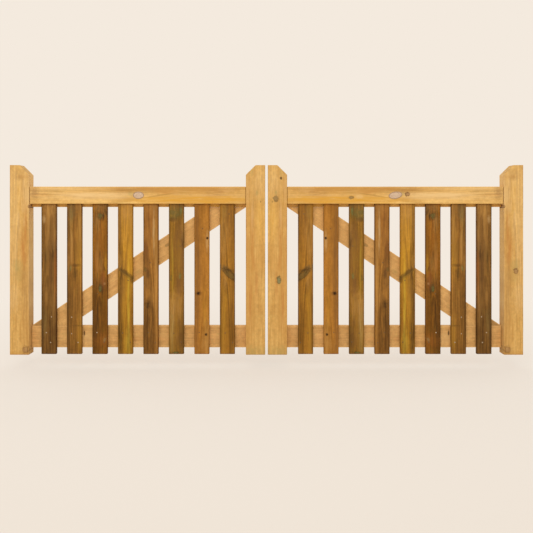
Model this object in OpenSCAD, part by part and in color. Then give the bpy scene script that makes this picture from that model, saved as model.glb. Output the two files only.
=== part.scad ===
// A pair of low driveway gate leaves, filled with pales and hung on butt hinges.
// +X runs along the pair from the left post to the right post, +Y to the rear, +Z up.
// The origin is the centre of the lower left hinge plate, on the face that meets the post.
// The right leaf is the mirror image of the left one, and all pieces are drawn for the left.

/* [Leaf] */
// Width of one leaf over its two stiles
leaf_w = 1211; // [1100:1:1500]
// Height of the stiles
leaf_h = 900; // [840:10:1200]
// Daylight between the two meeting stiles
meeting_gap = 12; // [10:1:25]
// Width of the eased edge along every timber
arris = 2; // [1:0.5:4]

/* [Stiles] */
// Width of a stile, seen from the front
stile_w = 92; // [85:1:110]
// Depth of a stile, from front to rear
stile_d = 70; // [64:1:90]
// Size of the 45 degree cut at the top of a stile
top_cut = 46; // [20:1:60]

/* [Rails and brace] */
// Height of the top rail
top_rail_h = 97; // [80:1:110]
// Drop from the top of the stiles to the top of the top rail
top_rail_drop = 102; // [80:1:140]
// Height of the bottom rail
bottom_rail_h = 104; // [70:1:110]
// Height of the bottom rail above the foot of the stiles
bottom_rail_lift = 29; // [15:1:60]
// Set-back of the rails from the front and rear faces of the stiles
rail_inset = 4; // [2:1:6]
// Width of the diagonal brace
brace_w = 100; // [70:1:110]

/* [Pales] */
// Number of pales in a leaf
pale_count = 8; // [6:1:9]
// Width of a pale
pale_w = 72; // [60:1:80]
// How much wider the gap beside a stile is than the gap between two pales
end_gap_extra = 3; // [0:0.5:10]
// Thickness of a pale
pale_t = 20; // [16:1:22]
// Set-back of the pales from the front face of the stiles
pale_setback = 17; // [12:1:18]
// Height of the pales' feet above the feet of the stiles
pale_lift = 0; // [0:1:15]
// Height of the rebate under the top rail that hides the tops of the pales
rebate_h = 15; // [10:1:20]

/* [Mortise and tenon] */
// Length of a tenon inside its stile
tenon_l = 60; // [40:1:70]
// Thickness of the top rail's tenon
top_tenon_t = 20; // [14:1:24]
// Thickness of the bottom rail's tenon
bottom_tenon_t = 12; // [8:1:14]
// Shoulder above and below each tenon
tenon_shoulder = 12; // [8:1:16]
// Clearance around the sides of a tenon
tenon_fit = 0.2; // [0.1:0.1:0.5]
// Glue space past the end of a tenon
tenon_end = 0.8; // [0.5:0.1:2]

/* [Badge plate] */
// Width of the blank oval plate on the left leaf's top rail
badge_w = 52; // [40:1:70]
// Width of the right leaf's plate
right_badge_w = 65; // [40:1:80]
// Shift of the left leaf's plate from the middle of its rail
left_badge_shift = 4; // [0:1:20]
// Height of either plate
badge_h = 34; // [20:1:44]
// Thickness of the plate
badge_t = 1.5; // [1:0.5:3]
// Tilt of the right leaf's plate
right_badge_tilt = 9; // [0:1:15]

/* [Hinges] */
// Height of a hinge
hinge_h = 100; // [80:1:125]
// Width of one flap on the timber
flap_w = 42; // [38:1:56]
// Thickness of a flap
flap_t = 3; // [2.5:0.5:4]
// Space between the two flaps when the gate is shut
flap_gap = 6; // [5:0.5:8]
// Height of the lower hinge's centre above the feet of the stiles
low_hinge_z = 150; // [120:1:250]
// Drop from the top of the stiles to the upper hinge's centre
high_hinge_drop = 150; // [120:1:250]
// Diameter of the hinge pin
pin_d = 6; // [5:0.5:7]
// Radial clearance of the pin in the moving knuckles
pin_fit = 0.1; // [0.05:0.01:0.1]
// Diameter of the button at each end of the pin
pin_head_d = 9; // [8:0.5:10]
// Height of the button at each end of the pin
pin_head_t = 2; // [1:0.5:3]
// Number of knuckles in the barrel
knuckle_count = 5; // [3:2:7]
// End clearance between two knuckles
knuckle_fit = 0.5; // [0.3:0.1:1]
// Space between the barrel and the rear face of the stile
barrel_gap = 1; // [1:0.5:3]
// Distance between the screw columns of a flap
screw_step_y = 26; // [20:1:30]
// Distance between the screw rows of a flap
screw_step_z = 60; // [50:1:70]
// Diameter of a screw hole
screw_d = 5.5; // [4:0.5:6]
// Diameter of the countersink at the face of the flap
screw_head_d = 9; // [8:0.5:10]

/* [Hidden] */
SIDES = ["left", "right"];
FRAME = ["hanging_stile", "meeting_stile", "top_rail", "bottom_rail", "brace"];
HINGES = ["upper", "lower"];

// Depths, measured back from the front face of the stiles.
pale_back = pale_setback + pale_t;
rail_back = stile_d - rail_inset;

// Heights, measured up from the feet of the stiles.
bottom_rail_top = bottom_rail_lift + bottom_rail_h;
top_rail_top = leaf_h - top_rail_drop;
top_rail_foot = top_rail_top - top_rail_h;
rebate_top = top_rail_foot + rebate_h;
badge_z = (rebate_top + top_rail_top) / 2;

// The bay is the clear opening between the stiles and the rails of one leaf.
bay_w = leaf_w - 2 * stile_w;
bay_h = top_rail_foot - bottom_rail_top;
pale_gap = (bay_w - pale_count * pale_w - 2 * end_gap_extra) / (pale_count + 1);

// One edge of the brace runs to the lower hanging corner of the bay and the other edge
// to its upper meeting corner, so the brace is steeper than the bay's own diagonal.
brace_angle = atan2(bay_h, bay_w) + asin(brace_w / norm([bay_w, bay_h]));
brace_foot = brace_w / sin(brace_angle);

// The hinge, measured from the post's face, with the flaps on either side of the axis.
barrel_r = flap_t + flap_gap / 2;
axis_d = stile_d + barrel_gap + barrel_r;
flap_front = stile_d - flap_w;
knuckle_h = hinge_h / knuckle_count;
knuckle_span = hinge_h - knuckle_fit;

// The leaf's own corner, at the front of the hanging stile's foot, in the gate's frame.
leaf_x = flap_t + flap_gap;
leaf_y = -(flap_front + stile_d) / 2;
leaf_z = -low_hinge_z;
gate_w = 2 * (leaf_x + leaf_w) + meeting_gap;

// Room by which a cutting shape runs past the face that it cuts.
past = 1;
// Number of sides drawn on a round shape.
$fn = 64;
oval_points = 60;

stile_colour = "#dba55f";
rail_colour = "#cd9a59";
pale_colours = ["#6f4a25", "#8e6030", "#7f5422", "#ac7a37", "#936034", "#89632f", "#a76f32", "#956832"];
badge_colour = "#d9cdbd";
hinge_colour = "#8d9094";

function hinge_z(hinge) = hinge == "lower" ? low_hinge_z : leaf_h - high_hinge_drop;

// ---- placing ----

// Moves a piece drawn in the leaf's frame into the gate's frame, on either side.
module hang(side) {
    if (side == "left")
        translate([leaf_x, leaf_y, leaf_z]) children();
    else
        translate([gate_w, 0, 0]) mirror([1, 0, 0]) translate([leaf_x, leaf_y, leaf_z]) children();
}

// ---- section shapes ----

// A rectangle between two corners, with its own corners eased.
module eased_rect(low, high) {
    polygon([
        [low.x + arris, low.y], [high.x - arris, low.y],
        [high.x, low.y + arris], [high.x, high.y - arris],
        [high.x - arris, high.y], [low.x + arris, high.y],
        [low.x, high.y - arris], [low.x, low.y + arris]
    ]);
}

module rect(low, high) {
    translate(low) square(high - low);
}

// Extrudes a shape drawn in plan, from one height to another.
module plan_view(low, high) {
    translate([0, 0, low]) linear_extrude(high - low) children();
}

// Extrudes a shape drawn from the front, from one depth to another.
module front_view(front, back) {
    translate([0, back, 0]) rotate([90, 0, 0]) linear_extrude(back - front) children();
}

// Extrudes a shape drawn from the side, from one distance along the leaf to another.
module side_view(from, to) {
    translate([from, 0, 0]) rotate([90, 0, 90]) linear_extrude(to - from) children();
}

// ---- mortises and tenons ----

// A bar that runs through a rail and out of both its ends, grown by fit on its sides
// and by end at its ends: drawn plain for the tenons and grown for the mortises.
module tenon_bar(thickness, middle, foot, top, fit = 0, end = 0) {
    side_view(stile_w - tenon_l - end, leaf_w - stile_w + tenon_l + end)
        rect(
            [middle - thickness / 2 - fit, foot + tenon_shoulder - fit],
            [middle + thickness / 2 + fit, top - tenon_shoulder + fit]
        );
}

module top_tenons(fit = 0, end = 0) {
    tenon_bar(top_tenon_t, stile_d / 2, rebate_top, top_rail_top, fit, end);
}

module bottom_tenons(fit = 0, end = 0) {
    middle = (pale_back + rail_back) / 2;
    tenon_bar(bottom_tenon_t, middle, bottom_rail_lift, bottom_rail_top, fit, end);
}

module mortises() {
    top_tenons(tenon_fit, tenon_end);
    bottom_tenons(tenon_fit, tenon_end);
}

// ---- timbers ----

// A stile whose top corner is cut on the side of the infill.
module stile_blank() {
    intersection() {
        plan_view(0, leaf_h) eased_rect([0, 0], [stile_w, stile_d]);
        front_view(-past, stile_d + past)
            polygon([
                [0, 0], [stile_w, 0],
                [stile_w, leaf_h - top_cut], [stile_w - top_cut, leaf_h],
                [0, leaf_h]
            ]);
    }
}

module hanging_stile() {
    color(stile_colour)
    difference() {
        stile_blank();
        mortises();
        for (hinge = HINGES)
            translate([0, 0, hinge_z(hinge)]) flap_recess();
    }
}

module meeting_stile() {
    color(stile_colour)
    difference() {
        translate([leaf_w, 0, 0]) mirror([1, 0, 0]) stile_blank();
        mortises();
    }
}

// The rebate along the top rail's front lower edge takes the tops of the pales.
module top_rail() {
    color(stile_colour)
    union() {
        side_view(stile_w, leaf_w - stile_w)
            polygon([
                [rail_inset + arris, rebate_top], [pale_back, rebate_top],
                [pale_back, top_rail_foot], [rail_back - arris, top_rail_foot],
                [rail_back, top_rail_foot + arris], [rail_back, top_rail_top - arris],
                [rail_back - arris, top_rail_top], [rail_inset + arris, top_rail_top],
                [rail_inset, top_rail_top - arris], [rail_inset, rebate_top + arris]
            ]);
        top_tenons();
    }
}

module bottom_rail() {
    color(rail_colour)
    union() {
        side_view(stile_w, leaf_w - stile_w)
            eased_rect([pale_back, bottom_rail_lift], [rail_back, bottom_rail_top]);
        bottom_tenons();
    }
}

module brace() {
    color(rail_colour)
    front_view(pale_back, rail_back)
        polygon([
            [stile_w, bottom_rail_top], [stile_w + brace_foot, bottom_rail_top],
            [leaf_w - stile_w, top_rail_foot], [leaf_w - stile_w - brace_foot, top_rail_foot]
        ]);
}

// Pale 1 stands next to the hanging stile.
module pale(number) {
    edge = stile_w + end_gap_extra + number * pale_gap + (number - 1) * pale_w;
    color(pale_colours[(number - 1) % len(pale_colours)])
    plan_view(pale_lift, rebate_top)
        eased_rect([edge, pale_setback], [edge + pale_w, pale_back]);
}

// The right leaf's plate is the wider one, and it hangs tilted.
module badge_plate(side) {
    right = side == "right";
    width = right ? right_badge_w : badge_w;
    color(badge_colour)
    translate([leaf_w / 2 + (right ? 0 : left_badge_shift), 0, badge_z])
        rotate([0, right ? right_badge_tilt : 0, 0])
        front_view(rail_inset - badge_t, rail_inset)
        polygon([
            for (i = [0:oval_points - 1])
                let (turn = 360 * i / oval_points)
                [width / 2 * cos(turn), badge_h / 2 * sin(turn)]
        ]);
}

// ---- hinges, drawn in the leaf's frame with the hinge's middle at height zero ----

// The recess that lets the moving flap lie flush in the hanging stile's outer face.
module flap_recess() {
    translate([-past, flap_front, -hinge_h / 2])
        cube([flap_t + past, flap_w + past, hinge_h]);
}

module screw_holes() {
    for (column = [-1, 1], row = [-1, 1])
        translate([0, flap_front + flap_w / 2 + column * screw_step_y / 2, row * screw_step_z / 2])
        rotate([0, 90, 0]) {
            translate([0, 0, -past]) cylinder(d = screw_d, h = flap_t + 2 * past);
            cylinder(d1 = screw_head_d, d2 = screw_d, h = (screw_head_d - screw_d) / 2);
        }
}

// One flap with every other knuckle, drawn with its open face at x = 0 and its back
// against the timber at x = flap_t. The axis lies half the flap gap in front of it.
module flap(first_knuckle) {
    difference() {
        translate([0, flap_front, -hinge_h / 2]) cube([flap_t, flap_w, hinge_h]);
        screw_holes();
    }
    for (i = [first_knuckle:2:knuckle_count - 1])
        translate([0, 0, i * knuckle_h - knuckle_span / 2]) {
            translate([-flap_gap / 2, axis_d, 0])
                cylinder(r = barrel_r, h = knuckle_h - knuckle_fit);
            translate([0, stile_d - flap_t, 0])
                cube([flap_t, axis_d - stile_d + flap_t, knuckle_h - knuckle_fit]);
        }
}

// The moving flap, let into the stile, with the pin's bore through its knuckles.
module hinge_flap(hinge) {
    color(hinge_colour)
    translate([0, 0, hinge_z(hinge)])
        difference() {
            flap(1);
            translate([-flap_gap / 2, axis_d, 0])
                cylinder(d = pin_d + 2 * pin_fit, h = hinge_h, center = true);
        }
}

// The fixed flap on the post, with the pin that its knuckles grip.
module hinge_plate(hinge) {
    color(hinge_colour)
    translate([-flap_gap, 0, hinge_z(hinge)]) {
        mirror([1, 0, 0]) flap(0);
        translate([flap_gap / 2, axis_d, 0]) {
            cylinder(d = pin_d, h = knuckle_span, center = true);
            for (end = [-1, 1])
                translate([0, 0, end * (knuckle_span + pin_head_t) / 2])
                    cylinder(d = pin_head_d, h = pin_head_t, center = true);
        }
    }
}

for (side = SIDES) {
    hang(side) hanging_stile();
    hang(side) meeting_stile();
    hang(side) top_rail();
    hang(side) bottom_rail();
    hang(side) brace();
    for (number = [1:pale_count])
        hang(side) pale(number);
    hang(side) badge_plate(side);
    for (hinge = HINGES) {
        hang(side) hinge_flap(hinge);
        hang(side) hinge_plate(hinge);
    }
}
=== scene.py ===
"""Looks of the wooden driveway gate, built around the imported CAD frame.

All lengths are in metres, in the frame of the CAD part: +X along the pair of leaves,
+Y to the rear and +Z up. The right leaf mirrors the left one, so every timber is laid
out in the left leaf's place and turned over for the right leaf.
"""

import math
from collections import namedtuple

import bmesh
import bpy
from mathutils import Euler, Matrix, Vector, noise


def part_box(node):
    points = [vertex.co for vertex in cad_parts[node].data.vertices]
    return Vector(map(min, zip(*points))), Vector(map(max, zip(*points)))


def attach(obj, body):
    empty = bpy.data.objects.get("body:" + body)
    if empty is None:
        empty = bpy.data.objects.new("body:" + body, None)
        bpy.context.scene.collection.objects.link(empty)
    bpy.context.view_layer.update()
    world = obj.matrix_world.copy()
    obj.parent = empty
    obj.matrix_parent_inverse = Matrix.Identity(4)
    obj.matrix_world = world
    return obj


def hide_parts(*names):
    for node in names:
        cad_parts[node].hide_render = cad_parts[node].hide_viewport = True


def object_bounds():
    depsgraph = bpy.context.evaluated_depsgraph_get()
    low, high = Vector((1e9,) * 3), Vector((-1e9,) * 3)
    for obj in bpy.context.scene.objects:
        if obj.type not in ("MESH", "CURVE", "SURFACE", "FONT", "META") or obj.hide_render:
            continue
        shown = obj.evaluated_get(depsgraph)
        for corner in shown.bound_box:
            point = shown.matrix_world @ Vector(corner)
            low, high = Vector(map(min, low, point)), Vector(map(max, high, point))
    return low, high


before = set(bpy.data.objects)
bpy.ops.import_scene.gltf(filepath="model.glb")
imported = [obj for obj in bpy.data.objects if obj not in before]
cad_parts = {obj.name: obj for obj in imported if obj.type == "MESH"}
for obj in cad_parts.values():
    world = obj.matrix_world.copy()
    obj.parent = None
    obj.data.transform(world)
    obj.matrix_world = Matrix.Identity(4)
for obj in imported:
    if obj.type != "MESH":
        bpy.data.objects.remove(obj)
cad_low, cad_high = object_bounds()
scene = bpy.context.scene

# ---- the gate's own lines, read from the frame ----

MIRROR_X = cad_low.x + cad_high.x
SIDES = ("left", "right")
HINGES = ("upper", "lower")
PALE_COUNT = sum(name.startswith("left_pale_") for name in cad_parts)

hanging_low, hanging_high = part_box("left_hanging_stile")
meeting_low, meeting_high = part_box("left_meeting_stile")
top_low, top_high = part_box("left_top_rail")
bottom_low, bottom_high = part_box("left_bottom_rail")
pale_low, pale_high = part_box("left_pale_1")

FOOT_Z = hanging_low.z
FRONT_Y = hanging_low.y
LEAF_X = hanging_low.x
BAY = (hanging_high.x, meeting_low.x)
STILE_W = hanging_high.x - hanging_low.x
INFILL_Y = pale_high.y
REBATE_Z = pale_high.z
CENTRE_X = MIRROR_X / 2

# ---- sizes of the finish ----

# Height and width of the sloping cut at a stile's top.
TOP_CUT = STILE_W / 2
# How far the edges of the timbers are eased, and in how many steps.
STILE_ARRIS = 0.0025
PALE_ARRIS = 0.003
BACK_ARRIS = 0.0008
ARRIS_STEPS = 3
# The fine line at a rail's ends.
JOINT_GAP = 0.0006
# Distance between the cuts along a timber, and how uneven its faces are.
SLICE = 0.022
UNEVEN = 0.00022
# Swells per metre, the finer ones' share, and the shift that gives each timber its own.
COARSE_SWELL = 14
FINE_SWELL = 47
FINE_SHARE = 0.4
SEED_SHIFT = (3.1, 1.7, 0.9)
# Edges that turn by more than this stay crisp.
SHARP_ANGLE = math.radians(40)


def mm(*values):
    """Millimetres to metres."""
    scaled = tuple(value / 1000 for value in values)
    return scaled if len(scaled) > 1 else scaled[0]


def srgb(red, green, blue):
    """A display colour, 0 to 255, as the linear colour that a shader takes."""
    def linear(channel):
        channel /= 255
        return channel / 12.92 if channel <= 0.04045 else ((channel + 0.055) / 1.055) ** 2.4
    return (linear(red), linear(green), linear(blue), 1.0)


# ---- meshes ----

# A timber, in the left leaf's place: its outline in a plane, its span across that plane, the
# way of its grain, how far its edges are eased, and where its own coordinates start.
Timber = namedtuple("Timber", "part plane outline span grain arris origin half_w depth tones")


def adjust(thing, **settings):
    for key, value in settings.items():
        setattr(thing, key, value)
    return thing


def new_object(name, data):
    made = bpy.data.objects.new(name, data)
    scene.collection.objects.link(made)
    return made


def prism(plane, outline, span):
    """A closed prism: an outline seen from the front (xz) or the side (yz), given depth."""
    bm = bmesh.new()
    ends = []
    for level in span:
        if plane == "xz":
            corners = [(a, level, b) for a, b in outline]
        else:
            corners = [(level, a, b) for a, b in outline]
        ends.append([bm.verts.new(corner) for corner in corners])
    count = len(outline)
    bm.faces.new(ends[0])
    bm.faces.new(reversed(ends[1]))
    for i in range(count):
        j = (i + 1) % count
        bm.faces.new((ends[0][j], ends[0][i], ends[1][i], ends[1][j]))
    bmesh.ops.recalc_face_normals(bm, faces=bm.faces)
    return bm


def slice_along(bm, direction, step):
    """Cuts every face at even steps along a direction, so that it can be uneven."""
    reach = [vert.co.dot(direction) for vert in bm.verts]
    low, high = min(reach), max(reach)
    count = max(1, round((high - low) / step))
    for i in range(1, count):
        at = low + (high - low) * i / count
        parts = bm.verts[:] + bm.edges[:] + bm.faces[:]
        bmesh.ops.bisect_plane(bm, geom=parts, plane_co=direction * at, plane_no=direction)


def roughen(bm, seed, amount):
    """Pulls the surface in by up to twice the amount, as planing and drying do."""
    bm.normal_update()
    shift = Vector([seed * step for step in SEED_SHIFT])
    moves = []
    for vert in bm.verts:
        swell = noise.noise(vert.co * COARSE_SWELL + shift)
        swell += FINE_SHARE * noise.noise(vert.co * FINE_SWELL + shift)
        moves.append(vert.normal * -amount * (1 + max(-1, min(1, swell))))
    for vert, move in zip(bm.verts, moves):
        vert.co += move


def turn_over(bm):
    """Mirrors a mesh of the left leaf into the right leaf's place."""
    for vert in bm.verts:
        vert.co.x = MIRROR_X - vert.co.x
    bmesh.ops.reverse_faces(bm, faces=bm.faces)


def mesh_object(name, bm):
    mesh = bpy.data.meshes.new(name)
    bm.to_mesh(mesh)
    bm.free()
    return new_object(name, mesh)


def smooth(piece):
    """Shades a piece smooth between its sharp edges."""
    bm = bmesh.new()
    bm.from_mesh(piece.data)
    for face in bm.faces:
        face.smooth = True
    for edge in bm.edges:
        edge.smooth = not edge.is_manifold or edge.calc_face_angle() < SHARP_ANGLE
    bm.to_mesh(piece.data)
    bm.free()
    piece.modifiers.new("weighted", "WEIGHTED_NORMAL").keep_sharp = True
    return piece


def carve(piece, low, high):
    """Cuts a block-shaped recess into a piece."""
    bm = bmesh.new()
    bmesh.ops.create_cube(bm, size=1.0)
    for vert in bm.verts:
        vert.co = Vector(
            (low[i] + high[i]) / 2 + vert.co[i] * (high[i] - low[i]) for i in range(3)
        )
    cutter = mesh_object("cutter", bm)
    cut = piece.modifiers.new("recess", "BOOLEAN")
    adjust(cut, operation="DIFFERENCE", solver="EXACT", object=cutter)
    graph = bpy.context.evaluated_depsgraph_get()
    mesh = bpy.data.meshes.new_from_object(piece.evaluated_get(graph))
    piece.modifiers.clear()
    piece.data = mesh
    bpy.data.objects.remove(cutter)


def timber_object(timber, side, seed):
    """A timber's mesh: eased, cut into slices, made uneven, and recessed for its hinges."""
    bm = prism(timber.plane, timber.outline, timber.span)
    bmesh.ops.bevel(
        bm, geom=bm.edges[:], offset=timber.arris, segments=ARRIS_STEPS, profile=0.5,
        affect="EDGES",
    )
    slice_along(bm, timber.grain, SLICE)
    roughen(bm, seed, UNEVEN)
    if side == "right":
        turn_over(bm)
    piece = mesh_object(f"{side}_{timber.part}_timber", bm)
    if timber.part == "hanging_stile":
        for level in HINGES:
            carve(piece, *flap_seat(side, level))
    return smooth(piece)


# ---- small fittings ----

# Thickness of a hinge flap, and the eased width of its edges.
FLAP_T = 0.003
FLAP_ARRIS = 0.0003
# Screws: steps between columns and rows, the head, the shank and its end.
SCREW_STEP = (0.026, 0.060)
SCREW_HEAD_R = 0.0043
SCREW_SHANK_R = 0.0026
SCREW_HEAD_T = 0.0018
SCREW_END = FLAP_T + 0.001
# How far the head lies below the flap, in head thicknesses.
SCREW_SUNK = 0.12
# The cross recess: half its length and width, its depth, and its floor's share of its size.
CROSS_LONG = 0.0026
CROSS_WIDE = 0.00055
CROSS_DEEP = 0.0013
CROSS_TAPER = 0.55
# Nail heads: radius, rise, and their rings as shares of the radius.
NAIL_R = 0.0031
NAIL_RISE = 0.0007
NAIL_RINGS = (1.0, 0.96, 0.8, 0.5, 0.2)
# Points on the circle of a screw or a nail.
ROUND = 28


def flap_seat(side, level):
    """Corners of the recess that the moving flap fills, run out past the timber's faces."""
    low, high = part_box(f"{side}_{level}_hinge_flap")
    x = (LEAF_X - FLAP_T, LEAF_X + FLAP_T)
    if side == "right":
        x = (MIRROR_X - x[1], MIRROR_X - x[0])
    return (x[0], low.y, low.z), (x[1], hanging_high.y + FLAP_T, high.z)


def oval(half_w, half_h, count, centre=0.0):
    """Points evenly around an ellipse, in its own plane."""
    turns = [2 * math.pi * i / count for i in range(count)]
    return [(centre + half_w * math.cos(t), half_h * math.sin(t)) for t in turns]


def circle(radius):
    return oval(radius, radius, ROUND)


def skin(bm, rings, closed_end=True):
    """Joins rings of vertices into a surface and closes the last one."""
    for first, second in zip(rings, rings[1:]):
        count = len(first)
        for i in range(count):
            j = (i + 1) % count
            bm.faces.new((first[i], first[j], second[j], second[i]))
    if closed_end:
        bm.faces.new(rings[-1])


def screw(bm, centre):
    """A countersunk screw with a cross recess, whose head faces along -X."""
    def ring(points, depth):
        return [bm.verts.new(centre + Vector((depth, y, z))) for y, z in points]

    half = CROSS_WIDE
    arm = CROSS_LONG
    cross = [
        (arm, -half), (arm, half), (half, half), (half, arm), (-half, arm), (-half, half),
        (-arm, half), (-arm, -half), (-half, -half), (-half, -arm), (half, -arm), (half, -half),
    ]
    sunk = [(y * CROSS_TAPER, z * CROSS_TAPER) for y, z in cross]
    face = SCREW_HEAD_T * SCREW_SUNK
    rim = ring(circle(SCREW_HEAD_R), face)
    mouth = ring(cross, face)
    edges = []
    for loop in (rim, mouth):
        edges += [bm.edges.new((loop[i], loop[(i + 1) % len(loop)])) for i in range(len(loop))]
    bmesh.ops.triangle_fill(bm, use_beauty=True, edges=edges)
    skin(bm, [mouth, ring(sunk, CROSS_DEEP)])
    neck = ring(circle(SCREW_SHANK_R), SCREW_HEAD_T)
    skin(bm, [rim, neck, ring(circle(SCREW_SHANK_R), SCREW_END)])


def dome(share):
    """Height of a dome, 1 at its middle, at a share of its radius."""
    return math.sqrt(1 - share ** 2)


def nail(bm, x, z):
    """A nail's low domed head on the pales, placed in millimetres from the foot corner."""
    at = leaf_point(x, z)
    rings = []
    for share in NAIL_RINGS:
        y = pale_low.y + UNEVEN * 2 - NAIL_RISE * dome(share)
        points = circle(NAIL_R * share)
        rings.append([bm.verts.new((at.x + dx, y, at.z + dz)) for dx, dz in points])
    skin(bm, rings)


BADGE_TILT = {"left": 0.0, "right": 9.0}
BADGE_POINTS = 72
# The plate's rings from its rim inwards: how far in, and the height in plate thicknesses.
BADGE_LIP = [(0.0, 0.0), (0.0, 0.7), (0.0004, 0.92), (0.0010, 1.0), (0.0030, 1.0), (0.0037, 0.84)]
BADGE_FIELD = [(0.0043, 0.62), (0.0060, 0.60), (0.0085, 0.70), (0.0120, 0.78), (0.0150, 0.80)]
# The plate's two pins: radius, distance from the rim, foot, rise and rings.
PIN_R = 0.0011
PIN_INSET = 0.0062
PIN_FOOT = 0.70
PIN_RISE = 0.3
PIN_RINGS = (1.0, 0.85, 0.5, 0.15)
PIN_POINTS = 16


def badge(side):
    """A blank oval plate: a raised lip around a gently domed field, and two small pins."""
    low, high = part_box(f"{side}_badge_plate")
    middle = (low + high) / 2
    half = (high - low) / 2
    thick = high.y - low.y
    # The half axes of a tilted ellipse, from the half sides of its box.
    tilt = math.radians(BADGE_TILT[side])
    both = half.x ** 2 + half.z ** 2
    apart = (half.x ** 2 - half.z ** 2) / math.cos(2 * tilt)
    half_w, half_h = math.sqrt((both + apart) / 2), math.sqrt((both - apart) / 2)
    turn = Matrix.Rotation(tilt, 3, "Y")
    if side == "right":
        turn.invert()
    bm = bmesh.new()

    def ring(points, lift):
        face = Vector((middle.x, high.y - lift * thick, middle.z))
        return [bm.verts.new(face + turn @ Vector((dx, 0, dz))) for dx, dz in points]

    rings = [
        ring(oval(half_w - inset, half_h - inset, BADGE_POINTS), lift)
        for inset, lift in BADGE_LIP + BADGE_FIELD
    ]
    skin(bm, rings[:len(BADGE_LIP)], closed_end=False)
    for face in bm.faces:
        face.material_index = 1
    skin(bm, rings[len(BADGE_LIP) - 1:])
    for end in (-1, 1):
        place = end * (half_w - PIN_INSET)
        rings = []
        for share in PIN_RINGS:
            points = oval(PIN_R * share, PIN_R * share, PIN_POINTS, place)
            rings.append(ring(points, PIN_FOOT + PIN_RISE * dome(share)))
        skin(bm, rings)
    bmesh.ops.recalc_face_normals(bm, faces=bm.faces)
    piece = smooth(mesh_object(f"{side}_badge", bm))
    piece.data.materials.append(METALS["badge_plate"])
    piece.data.materials.append(METALS["badge_lip"])
    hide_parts(f"{side}_badge_plate")
    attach(piece, f"{side}_leaf")


# Nails of a leaf in millimetres from its foot corner: those left bright by the stain, then
# the dull ones along the bottom rail and the brace.
BRIGHT_NAILS = [(193, 178), (169, 103), (189, 56), (289, 176), (289, 98), (320, 56), (410, 103)]
DULL_NAILS = [
    (444, 56), (413, 288), (532, 101), (568, 57), (558, 352), (655, 103), (688, 55), (663, 436),
    (776, 100), (811, 58), (806, 515), (897, 104), (912, 598), (1020, 101), (1056, 56),
    (1039, 668),
]


def fitting(bm, name, side, metal_name):
    """Turns a mesh of small fittings, drawn on the left leaf, into a piece of a leaf."""
    bmesh.ops.recalc_face_normals(bm, faces=bm.faces)
    if side == "right":
        turn_over(bm)
    piece = smooth(mesh_object(f"{side}_{name}", bm))
    piece.data.materials.append(METALS[metal_name])
    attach(piece, f"{side}_leaf")


def build_nails(side):
    for name, places in (("bright", BRIGHT_NAILS), ("dull", DULL_NAILS)):
        bm = bmesh.new()
        for x, z in places:
            nail(bm, x, z)
        fitting(bm, f"nails_{name}", side, f"nail_{name}")


def build_screws(side):
    bm = bmesh.new()
    for level in HINGES:
        low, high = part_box(f"{side}_{level}_hinge_flap")
        middle = Vector((LEAF_X, (low.y + hanging_high.y) / 2, (low.z + high.z) / 2))
        for column in (-1, 1):
            for row in (-1, 1):
                step = Vector((0, column * SCREW_STEP[0] / 2, row * SCREW_STEP[1] / 2))
                screw(bm, middle + step)
    fitting(bm, "hinge_screws", side, "screw_zinc")


def dress_hinges():
    """The hinges keep their CAD shape and get eased edges and a zinc finish."""
    for name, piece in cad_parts.items():
        if "_hinge_" in name:
            piece.data.materials.clear()
            piece.data.materials.append(METALS["zinc"])
            adjust(
                piece.modifiers.new("eased", "BEVEL"), width=FLAP_ARRIS, segments=2,
                limit_method="ANGLE", angle_limit=SHARP_ANGLE,
            )


# ---- node helpers ----

def feed(tree, sockets, values):
    """Links sockets, by name or number, to other ones, or sets them to plain values."""
    for key, value in values.items():
        if isinstance(value, bpy.types.NodeSocket):
            tree.links.new(value, sockets[key])
        else:
            sockets[key].default_value = value


def node(tree, kind, inputs=None, **settings):
    """A new node with its settings and inputs."""
    made = adjust(tree.nodes.new(kind), **settings)
    feed(tree, made.inputs, inputs or {})
    return made


def calc(tree, operation, *values, clamp=False):
    """The result of a Math node."""
    inputs = dict(enumerate(values))
    return node(tree, "ShaderNodeMath", inputs, operation=operation, use_clamp=clamp).outputs[0]


def times(tree, value, factor):
    return calc(tree, "MULTIPLY", value, factor)


def affine(tree, value, factor, addend):
    return calc(tree, "MULTIPLY_ADD", value, factor, addend)


def vmath(tree, operation, *values):
    """The result of a Vector Math node."""
    made = node(tree, "ShaderNodeVectorMath", dict(enumerate(values)), operation=operation)
    scalar = operation in ("DOT_PRODUCT", "LENGTH")
    return made.outputs["Value" if scalar else "Vector"]


def ease(tree, value, low, high, start=0.0, end=1.0):
    """Smooth step of a value from start to end, between low and high."""
    inputs = {"Value": value, "From Min": low, "From Max": high, "To Min": start, "To Max": end}
    return node(tree, "ShaderNodeMapRange", inputs, interpolation_type="SMOOTHSTEP").outputs[0]


def blend(tree, factor, first, second):
    """A colour between two others."""
    made = node(tree, "ShaderNodeMix", {0: factor, 6: first, 7: second}, data_type="RGBA")
    return made.outputs[2]


def grain_noise(tree, coords, stretch, seed, detail=3.0, roughness=0.55):
    """Noise drawn out by the three factors of stretch, in features per metre."""
    scaled = vmath(tree, "MULTIPLY", coords, stretch)
    inputs = {"Vector": scaled, "W": seed, "Scale": 1.0, "Detail": detail, "Roughness": roughness}
    return node(tree, "ShaderNodeTexNoise", inputs, noise_dimensions="4D").outputs


def sway(tree, colour, factors):
    """A noise's colour as a shift to either side of zero."""
    centred = vmath(tree, "SUBTRACT", colour, (0.5, 0.5, 0.5))
    return vmath(tree, "MULTIPLY", centred, factors)


def scale_by(tree, vector, factor):
    """A vector times a number."""
    inputs = {0: vector, "Scale": factor}
    return node(tree, "ShaderNodeVectorMath", inputs, operation="SCALE").outputs[0]


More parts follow.
